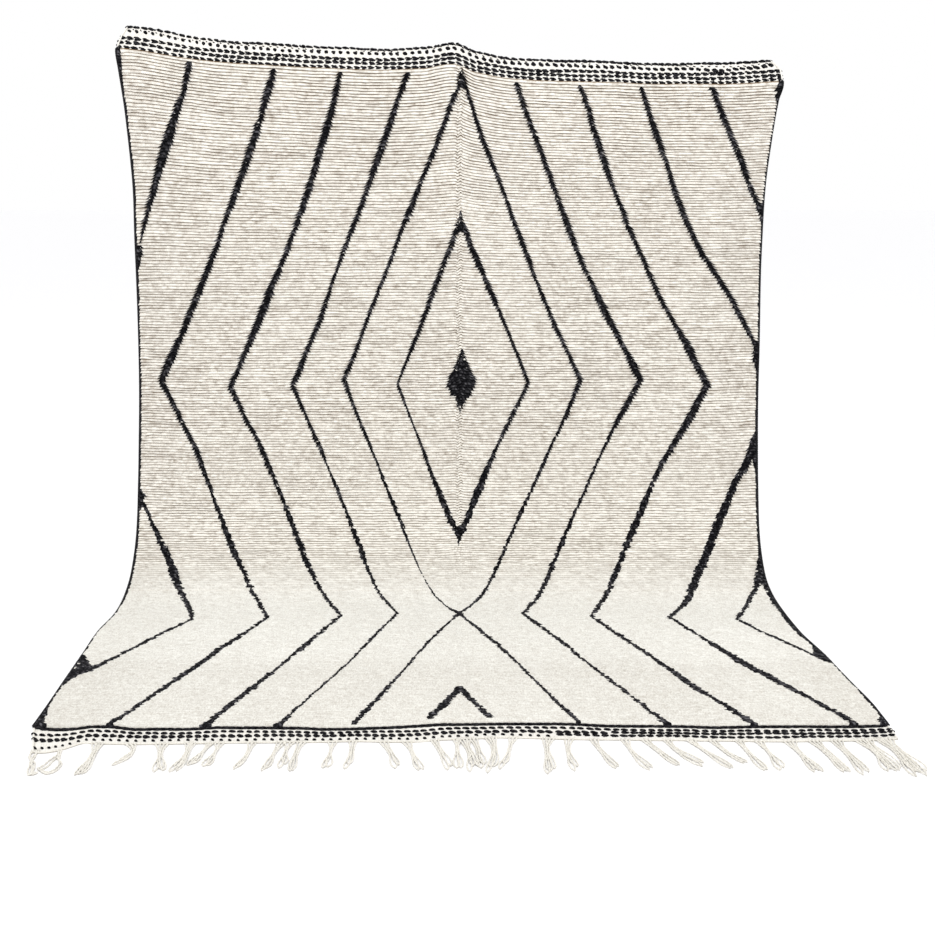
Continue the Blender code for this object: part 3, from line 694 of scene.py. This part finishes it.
def groove_lines(rng):
    """Where the grooves between the rows run, in metres down, and how far each is open."""
    size = (ROWS + 1, KNOTS + 1)
    level = FIELD_START + np.arange(ROWS + 1) * PITCH
    stray = 0.06 * wander(rng, size, 8, 1.2) + 0.05 * wander(rng, size, 2.0, 0.4)
    stray = stray * (1 + SIDE_STRAY * bell(NEAR_SIDE / SIDE_STRAY_REACH))
    from_crease = COLUMNS - CREASE
    crease = bell((from_crease / CREASE_HALF) ** 2) * smooth((CREASE_END - level) / 0.3)[:, None]
    swept = rng.uniform(*CREASE_SWEEP, (ROWS + 1, 1)) * from_crease / CREASE_SWEEP_REACH
    risen = CREASE_RISE * bell(from_crease / CREASE_REACH) * hanging_share(level)[:, None]
    stray = stray * (1 - 0.5 * crease) - crease * swept - risen
    stray[[0, -1]] = 0.0
    single = (SINGLE_OPEN[0] + SINGLE_OPEN[1] * ramp(level, *SINGLE_FADE))[:, None]
    opened = 0.79 + 0.22 * wander(rng, size, 5, 0.6) + single * wander(rng, size, 0.8)
    return level[:, None] + PITCH * stray, np.clip(opened + 0.4 * crease, 0.04, 1.0)


def spill(across, down):
    """How far the lips of the outermost knots reach over the overcast sides."""
    near_side = np.clip(np.minimum(across - FIELD_LEFT, FIELD_RIGHT - across), 0, None)
    cover = np.where(across < 0, -between(LEFT_COVER, down), between(RIGHT_COVER, down))
    return cover * bell(near_side / SPILL_REACH)


def tuft_surface(rng):
    """Points of the pile's surface, row after row, with their tones."""
    line, opened = groove_lines(rng)
    size = (ROWS, KNOTS + 1)
    hanging = hanging_share(line[:-1])
    high = TUFT_RISE * wander(rng, size, 1) + TUFT_RISE * hanging * wander(rng, size, 12, 2)
    sway = TUFT_SWAY * wander(rng, size, 1)
    shade = (STANDING_TONE + HANGING_TONE * hanging) * wander(rng, size, 0.5)
    shade = shade + 0.012 * wander(rng, size, 25, 12)
    # painted light and shade down the rug, and painted shade towards its sides
    shade = shade + between(PAINTED_LIGHT_DOWN, line[:-1]) - SIDE_PAINTED_SHADE * ramp(np.abs(COLUMNS), *SIDE_PAINTED_SHADE_FADE)
    pale = between(PALE_SHARE, line[:-1])
    shade = shade + rng.normal(0, ROW_TONE, (ROWS, 1)) * hanging
    room = np.diff(line, axis=0)
    closed = (1 - opened[:-1]) * hanging
    spilt = spill(COLUMNS, line[:-1])
    across, down, height, tone = [], [], [], []
    # each tuft's tone paints shade at its root between the rows, less where the light reaches down or
    # the groove is closed
    for drooping, upright in zip(HANGING_TUFT, STANDING_TUFT):
        offset, rise, share, light = (a * hanging + b * (1 - hanging) for a, b in zip(drooping, upright))
        fill = closed * (1 - share)
        across.append(COLUMNS + sway * share + spilt * share)
        down.append(line[:-1] + room * offset)
        height.append(rise + high * share + FILL_RISE * fill)
        light = light + (upright[3] - light) * pale
        tone.append(light + shade * (0.3 + 0.7 * share) + FILL_TONE * fill * (1 - pale))
    stacked = [np.stack(part, axis=1).reshape(-1, KNOTS + 1) for part in (across, down, height, tone)]
    last = [COLUMNS] + [np.full(KNOTS + 1, value) for value in (FIELD_END, *LAST_LIP)]
    return [np.vstack([part, end]) for part, end in zip(stacked, last)]


def mark_ends(levels, mark, rng):
    """The left and right ends of a mark at the four levels of one of its rows."""
    down, middle, width = mark
    at = np.interp(levels, down, middle)
    droop = 1 - ramp(levels[0], *TEETH_FADE)
    half = np.interp(levels, down, width) / 2 - between(LINE_TRIM, levels)
    teeth = droop * TOOTH_FLARE * rng.uniform(0.6, 1.4, (2, 1))
    teeth = teeth + (1 - droop) * rng.normal(0.0, KNOT_STRAY, (2, 4))
    uneven = rng.normal(0.0, ROW_STRAY - ROW_CALM * droop, (2, 1))
    teeth = (teeth + uneven) * np.minimum(1.0, half / FULL_TEETH_HALF)
    ends = np.array([at - half, at + half]) + np.array([[-1], [1]]) * teeth
    if ends[0].min() < FIELD_LEFT + SIDE_SNAP:
        ends[0] = FIELD_LEFT - SIDE_REACH
    if ends[1].max() > FIELD_RIGHT - SIDE_SNAP:
        ends[1] = FIELD_RIGHT + SIDE_REACH
    return ends


def mark_spans(rng):
    """The black of every row: each span's left and right ends at the four levels of a knot."""
    spans = [[] for _ in range(ROWS)]
    for mark in CHART.values():
        mark = np.array(mark).T / 1000
        start, end = (mark[0, [0, -1]] - FIELD_START) / PITCH  # it takes the rows it half covers
        first, last = max(int(np.ceil(start - 0.6)), 0), min(int(np.floor(end - 0.4)), ROWS - 1)
        for row in range(first, last + 1):
            ends = mark_ends(FIELD_START + (row + KNOT_LEVELS) * PITCH, mark, rng)
            if (ends[1] - ends[0]).min() > LEAST_SPAN:
                spans[row].append(ends)
    merged = []
    for row, some in enumerate(spans):
        whole = []
        for ends in sorted(some, key=lambda ends: ends[0, 2]):
            if whole and ends[0, 2] < whole[-1][1, 2] + SPAN_MARGIN:
                low, high = whole.pop()
                ends = np.array([np.minimum(low, ends[0]), np.maximum(high, ends[1])])
            whole.append(ends)
        merged += [(row, ends) for ends in whole]
    return merged


def span_columns(spans, step, lip):
    """Columns across every span, as rows, across at the four levels, which are outer, and joins."""
    rows, across, outer, join = [], [], [], []
    for row, (left, right) in spans:
        inner = max(1, int(round((right[1] - left[1]) / step)))
        u = np.linspace(0, 1, inner + 1)
        middle = left[:, None] + lip + (right - left - 2 * lip)[:, None] * u
        across.append(np.hstack([left[:, None] - lip, middle, right[:, None] + lip]))
        k = np.arange(inner + 3)
        rows.append(np.full(inner + 3, row))
        outer.append(k % (inner + 2) == 0)
        join.append(k < inner + 2)
    return np.concatenate(rows), np.hstack(across), np.concatenate(outer), np.concatenate(join)[:-1]


def sampled(grid, rows, across):
    """Values of a grid of the pile at some of its rows, between its columns."""
    i = np.clip(np.searchsorted(COLUMNS, across, side="right") - 1, 0, KNOTS - 1)
    t = np.clip((across - COLUMNS[i]) / (COLUMNS[i + 1] - COLUMNS[i]), 0, 1)
    return grid[rows, i] * (1 - t) + grid[rows, i + 1] * t


def black_knots(name, across, down, height, tone, faces):
    """A piece of black knots from their places on the cloth."""
    attributes = {"place": np.stack([across, down, height], -1), "tone": tone}
    piece = new_mesh(name, on_cloth(across, down, height), [faces.reshape(-1, 4)], attributes)
    return finish(piece, BLACK, "black_wool", "pile_field")


def build_lines(spans, surface, rng):
    """The black knots, which follow the cream ones and stand a little proud of them."""
    rows, across, outer, join = span_columns(spans, 0.0060, 0.0008)
    level = np.arange(4)[:, None]
    at = PROFILE_STEPS * rows + level
    down = sampled(surface[1], at, across) + LINE_LOWER[:, None]
    across = across + spill(across, down)
    proud = LINE_PROUD[:, None] * (1 + 0.25 * rng.standard_normal(rows.shape))
    height = sampled(surface[2], at, across) + np.where(outer, LINE_SUNK, proud)
    # painted glints, brightest at the lips
    painted_glint = 1.5 * np.clip(rng.standard_normal(across.shape) - 0.7, 0, 1.0)
    hanging = hanging_share(down)
    tone = LINE_PAINTED_LIGHT[:, None] * hanging + 0.07 * (1 - hanging) + painted_glint * np.where(level == 2, 1.0, 0.5)
    return black_knots("pile_lines", across, down, height, tone, grid_faces(*across.shape)[:, join])


def build_line_backs(spans):
    """The backs of the black knots: low pads that stand proud of the ribs behind."""
    rows, across, outer, join = span_columns(spans, 0.018, 0.0006)
    down = FIELD_START + (rows + PAD_LEVELS[:, None]) * PITCH
    height = np.where(outer | (np.arange(4) % 3 == 0)[:, None], PAD_RIM, PAD_TOP)
    across = np.broadcast_to(across[1], down.shape)
    faces = grid_faces(*across.shape)[:, join, ::-1]
    return black_knots("line_knot_backs", across, down, height, np.full(down.shape, 0.45), faces)


def build_pile(spans, surface):
    """The cream knots in a few blocks, without those that lie wholly under black ones."""
    across, down, height, tone = surface
    hidden = np.zeros((ROWS, KNOTS), bool)
    for row, ends in spans:
        low, high = ends[0].max() + SPAN_MARGIN, ends[1].min() - SPAN_MARGIN
        hidden[row] |= (COLUMNS[:-1] > low) & (COLUMNS[1:] < high)
    points = on_cloth(across, down, height)
    place = np.stack([across, down, height], -1)
    # ends is 1 where the tufts stand; where they hang the cream gets a painted warmth, for light bounced
    # between the rows
    attributes = {"place": place, "tone": tone, "ends": 1 - hanging_share(down)}
    faces = grid_faces(*across.shape).reshape(ROWS, PROFILE_STEPS, KNOTS, 4)
    pieces = []
    for k, rows in enumerate(np.array_split(np.arange(ROWS), PILE_BLOCKS)):
        some = faces[rows].transpose(0, 2, 1, 3)[~hidden[rows]].reshape(-1, 4)
        piece = new_mesh(f"pile_cream_{k + 1}", points, [some], attributes)
        pieces.append(finish(piece, CREAM, "cream_wool", "pile_field"))
    return pieces


# ------------ the ground cloth


def build_ground():
    """The ground cloth, ribbed by its rows of knots behind and by its weft at both ends."""
    close = [(-0.01, 0.12, 3.4), (LEFT_SIDE, 0.12, 3.0), (RIGHT_SIDE, 0.12, 3.0)]
    columns = spaced(LEFT_SIDE + CORD_SLOT / 2, RIGHT_SIDE - CORD_SLOT / 2, 68, close)
    top = np.arange(0.0, FIELD_START, KILIM_STEP / 2)
    end = np.append(np.arange(FIELD_END, LENGTH - 0.0005, KILIM_STEP / 2), LENGTH)
    field = FIELD_START + np.arange(2 * ROWS) * PITCH / 2
    rows = np.concatenate([top, field, end])
    rib = np.concatenate([np.arange(len(part)) % 2 for part in (top, field, end)])
    first, last = len(top), len(top) + len(field)
    front = np.r_[0:first, first:last:12, last : len(rows)]  # coarse where the pile hides it
    sides = [(rows, RIB * (2 - rib)), (rows[front], CLOTH_THICK + RIB * (rib[front] - 1))]
    points, places = [], []
    for down, height in sides:
        across, down, height = np.broadcast_arrays(columns, down[:, None], height[:, None])
        points.append(on_cloth(across, down, height).reshape(-1, 3))
        places.append(np.stack([across, down, height], -1).reshape(-1, 3))
    back_at = np.arange(len(points[0])).reshape(-1, len(columns))
    front_at = len(points[0]) + np.arange(len(points[1])).reshape(-1, len(columns))
    groups = [
        grid_faces(*back_at.shape).reshape(-1, 4)[:, ::-1],
        grid_faces(*front_at.shape).reshape(-1, 4) + len(points[0]),
    ]
    for row, flip in ((0, 1), (-1, -1)):
        wall = [back_at[row, :-1], front_at[row, :-1], front_at[row, 1:], back_at[row, 1:]]
        groups.append(np.stack(wall, -1)[:, ::flip])
    for side, flip in ((0, 1), (-1, -1)):
        for i, (low, high) in enumerate(zip(front, front[1:])):
            loop = [*back_at[low : high + 1, side], front_at[i + 1, side], front_at[i, side]]
            groups.append(np.array([loop])[:, ::flip])
    piece = new_mesh("ground_cloth", np.concatenate(points), groups, {"place": np.concatenate(places)})
    return finish(piece, WEAVE, "flat_weave", "kilim_top", "kilim_bottom")


# ------------ twining, sides and fringe


def stitches(rng, row):
    """The black stitches of a twined row: closed leaves whose ends dip into the cloth."""
    down, start, end, pitch, share, half_width, strands, slant, stray, curl = row
    count = int(round((end - start) / pitch))
    middle = start + (np.arange(count) + 0.5) * (end - start) / count
    middle = middle + rng.normal(0.0, STITCH_STRAY, count)
    drift = stray * wander(rng, (1, count), 2)[0]
    half_height, middle_height = FOOT_LEAF if down > FOOT_START else TOP_LEAF
    body = np.sqrt(1 - 0.93 * np.abs(LEAF) ** 2.6)
    parts = []
    for strand in range(strands):
        apart = strand - (strands - 1) / 2
        reach = share * pitch / 2 * rng.uniform(0.88, 1.10, count) * (1 - 0.16 * (strands - 1))
        across = middle[:, None] + 0.16 * pitch * apart + reach[:, None] * LEAF
        tilt = slant * (1 if strand == 0 else -1) + rng.normal(0.0, TILT_STRAY, count)
        uneven = rng.normal(0.0, STATION_STRAY, across.shape)
        at_down = down + drift[:, None] + 0.5 * half_width * apart + tilt[:, None] * LEAF + uneven
        past_curl = np.maximum(LEFT_SIDE + CURL_ROOM - across, across - RIGHT_SIDE + CURL_ROOM)
        at_down = at_down - curl * np.clip(past_curl / CURL_ROOM, 0, 1) ** 2
        wide = half_width * (1 - 0.36 * (strands - 1)) * body * rng.normal(1.0, 0.13, across.shape)
        path = on_cloth(across, at_down, np.full(across.shape, middle_height))
        up = directions(across, np.clip(at_down, 0, LENGTH))[1]
        parts.append(tube(path, up, np.clip(wide, 0.0006, None), half_height * body))
    return parts


def build_twining(name, rows, rng, node):
    """The black stitches of one kilim, joined."""
    points, groups = joined([part for row in rows for part in stitches(rng, row)])
    tone = 0.08 + 0.10 * rng.standard_normal(len(points))
    piece = new_mesh(name, points, groups, {"place": points.copy(), "tone": tone})
    return finish(piece, BLACK, "black_wool", node)


def build_edge(name, side, start, end, radius, height, *looks):
    """One bound stretch of a side: yarn wound round the outer warps, turn against turn."""
    turns = int((end - start) / WRAP)
    s = np.arange(turns * WRAP_STATIONS + 1) / WRAP_STATIONS
    down = start + s / turns * (end - start)
    across = np.full(down.shape, LEFT_SIDE + CORD_SLOT / 2 if side < 0 else RIGHT_SIDE - CORD_SLOT / 2)
    over, out = directions(across, down)
    angle = np.arange(WRAP_SIDES) * 2 * np.pi / WRAP_SIDES
    ridge = np.abs(np.sin(np.pi * s[:, None] - angle / 2))
    ends = np.minimum(1, 0.35 + np.minimum(s, turns - s)[:, None])
    reach = radius * (0.84 + 0.16 * ridge) * ends
    centre = on_cloth(across, down, height)
    around = over[:, None] * np.cos(angle)[:, None] + out[:, None] * np.sin(angle)[:, None]
    rings = centre[:, None] + around * reach[..., None]
    place = np.stack(np.broadcast_arrays(across[:, None] + angle * 0.004, down[:, None], 0.0), -1)
    # painted shade between the turns of the overcasting, lighter on their crests
    attributes = {"place": place, "tone": 0.22 * ridge}
    piece = new_mesh(name, rings, tube_faces(1, len(s), WRAP_SIDES), attributes)
    return finish(piece, *looks)


def build_edges():
    """Both sides: black overcasting along the pile, and plain edges beside the kilims."""
    top, foot = TOP_KILIM - 0.003, FIELD_END + 0.004
    edges = []
    for name, side in (("left", -1), ("right", 1)):
        node = f"selvedge_{name}"
        bound = (CORD_RADIUS, CORD_RADIUS, BLACK, "black_wool", node)
        plain = (PLAIN_RADIUS, PLAIN_HEIGHT, WEAVE, "flat_weave", node)
        edges.append(build_edge(f"overcast_{name}", side, top, foot, *bound))
        edges.append(build_edge(f"top_edge_{name}", side, 0.002, top, *plain))
        edges.append(build_edge(f"foot_edge_{name}", side, foot, LENGTH, *plain))
    return edges


def tassel_paths(rng):
    """Looped strands, as x, y and z: each goes out from its root, round its loop and back."""
    out = np.linspace(0, 1, 19)
    t = np.concatenate([out, out[-2::-1]])
    leg = np.sign(np.arange(len(t)) - (len(out) - 1))
    paths = []
    for k, (root, middle, tip, reach) in enumerate(TASSELS):
        loops = 3 if reach > 0.15 or k > 30 else 2
        if k > len(TASSELS) - 3:
            loops = 5  # the two at the right corner are the fullest
        bow = 4 * middle - tip
        for loop in range(loops):
            apart = loop - (loops - 1) / 2
            end = rng.uniform(*LEG_TIP)
            aside = LOOP_APART * (1 - smooth(t / 0.35)) + LOOP_WAIST
            aside = apart * (aside + LOOP_APART * smooth((t - 0.45) / 0.5))
            spread = LEG_ROOT * (1 - smooth(t / 0.3)) + LEG_WAIST + end * smooth((t - 0.5) / 0.3)
            spread = spread * np.sqrt(np.clip(1 - smooth((t - 0.88) / 0.12), 0, 1))
            wave = LOOP_WAVE * np.sin(6 * t + 6 * rng.random())
            x = root + bow * t + (tip - bow) * t * t + aside + leg * spread + wave
            long = (reach + 0.002) * (1 - 0.22 * rng.random() * (loop > 0))
            start = foot_shift(root, LENGTH)[1] - 0.004
            y = DEPTH - start - (long - start) * t
            lift = LOOP_LIFT * loop * np.sin(np.pi * t)
            lift = lift + LEG_LIFT * leg * np.sin(9 * t + 6 * rng.random())
            paths.append(np.stack([x, y, STRAND_HEIGHT + np.abs(lift)], -1))
    return np.array(paths)


def loose_loop(points, stations):
    """A strand laid over the floor through points given as x and reach."""
    table = [(i, x / 1000, reach / 1000) for i, (x, reach) in enumerate(points)]
    t = np.linspace(0, len(points) - 1, stations)
    x, reach = between(table, t, 1), between(table, t, 2)
    return np.stack([x, DEPTH - reach, np.full(stations, STRAND_HEIGHT + 0.0004)], -1)


def build_fringe(rng):
    """The warp fringe: a cord along the last weft, and two-ply strands that end in loops."""
    paths = tassel_paths(rng)
    stations = paths.shape[1]
    loose = [loose_loop(points, stations) for points in LOOSE_STRANDS]
    paths = np.concatenate([paths, loose]) + np.array([OFFSET[0], OFFSET[1], 0.0])
    up = np.broadcast_to([0.0, 0.0, 1.0], paths.shape)
    side = unit(np.cross(np.gradient(paths, axis=1), up))
    step = np.linalg.norm(np.diff(paths, axis=1), axis=-1)
    length = np.concatenate([np.zeros((len(paths), 1)), np.cumsum(step, axis=1)], axis=1)
    turn = 2 * np.pi * (length / PLY_TWIST + rng.random((len(paths), 1)))
    parts = []
    for ply in (0.0, np.pi):
        aside = side * np.cos(turn + ply)[..., None] + up * np.sin(turn + ply)[..., None]
        plied = paths + aside * PLY_APART
        plied[..., 2] = np.maximum(plied[..., 2], PLY_RADIUS + 0.0002)
        parts.append(tube(plied, up, PLY_RADIUS, PLY_RADIUS, sides=5))
    across = np.linspace(LEFT_SIDE + 0.006, RIGHT_SIDE - 0.006, 160)
    down = LENGTH - 0.001 + 0.0008 * wander(rng, (1, 160), 3)[0]
    cord = on_cloth(across, down, np.full(160, 0.0036))[None]
    parts.append(tube(cord, np.array([0.0, 0.0, 1.0]), LAST_CORD, LAST_CORD))
    points, groups = joined(parts)
    # painted shade: the strands are darker low down, near the floor
    tone = 0.30 + 0.5 * smooth(points[:, 2] / 0.0070)
    piece = new_mesh("fringe_tassels", points, groups, {"place": points.copy(), "tone": tone})
    return finish(piece, YARN, "fringe_yarn", "fringe")


# ------------ putting it together


def build_rug():
    """Every piece of the rug."""
    rng = np.random.default_rng(RANDOM_START)
    surface = tuft_surface(rng)
    spans = mark_spans(rng)
    pile = build_pile(spans, surface)
    lines = build_lines(spans, surface, rng)
    ground = build_ground()
    backs = build_line_backs(spans)
    upper = build_twining("twining_top", TOP_TWINING, rng, "kilim_top")
    lower = build_twining("twining_bottom", FOOT_TWINING, rng, "kilim_bottom")
    fringe = build_fringe(rng)
    on_it = [*pile, lines, backs, upper, lower, *build_edges(), fringe]


def build_floor():
    """A plain pale floor that runs out to the pale surroundings."""
    corners = FLOOR_REACH * np.array([(-1, -1, 0), (1, -1, 0), (1, 1, 0), (-1, 1, 0)])
    piece = new_mesh("floor", corners, [np.array([[0, 1, 2, 3]])], {})
    made, _, shader = shader_tree("pale_floor", 0.9, 0.0)
    shader.inputs["Base Color"].default_value = (0.99, 0.99, 1.0, 1.0)
    piece.data.materials.append(made)


def build_light():
    """Even pale surroundings and one broad soft light from above the camera."""
    world = bpy.data.worlds.new("pale_surroundings")
    world.use_nodes = True
    ground = world.node_tree.nodes["Background"]
    ground.inputs["Color"].default_value = (1.0, 1.0, 1.0, 1.0)
    ground.inputs["Strength"].default_value = 1.0
    bpy.context.scene.world = world
    lamp = bpy.data.lights.new("soft_light", "AREA")
    lamp.shape = "RECTANGLE"
    lamp.size, lamp.size_y = 4.5, 2.0
    lamp.energy = 146.0
    holder = bpy.data.objects.new("soft_light", lamp)
    holder.location = (0.3, -3.6, 4.8)
    holder.rotation_euler = (np.radians(42), 0.0, 0.0)
    bpy.context.collection.objects.link(holder)


def build_camera():
    """The photograph's view: eye height, looking a little down."""
    made = bpy.data.cameras.new("camera")
    made.sensor_width = 36.0
    made.lens = 42.35
    made.shift_x = 0.0075
    made.clip_end = 200.0
    holder = bpy.data.objects.new("camera", made)
    holder.location = (OFFSET[0], OFFSET[1] - CAMERA_BACK, CAMERA_HEIGHT)
    holder.rotation_euler = (np.radians(90 - CAMERA_TILT), 0.0, 0.0)
    bpy.context.collection.objects.link(holder)
    bpy.context.scene.camera = holder
    bpy.context.scene.view_settings.view_transform = "Standard"


build_camera()
build_light()
build_floor()
build_rug()
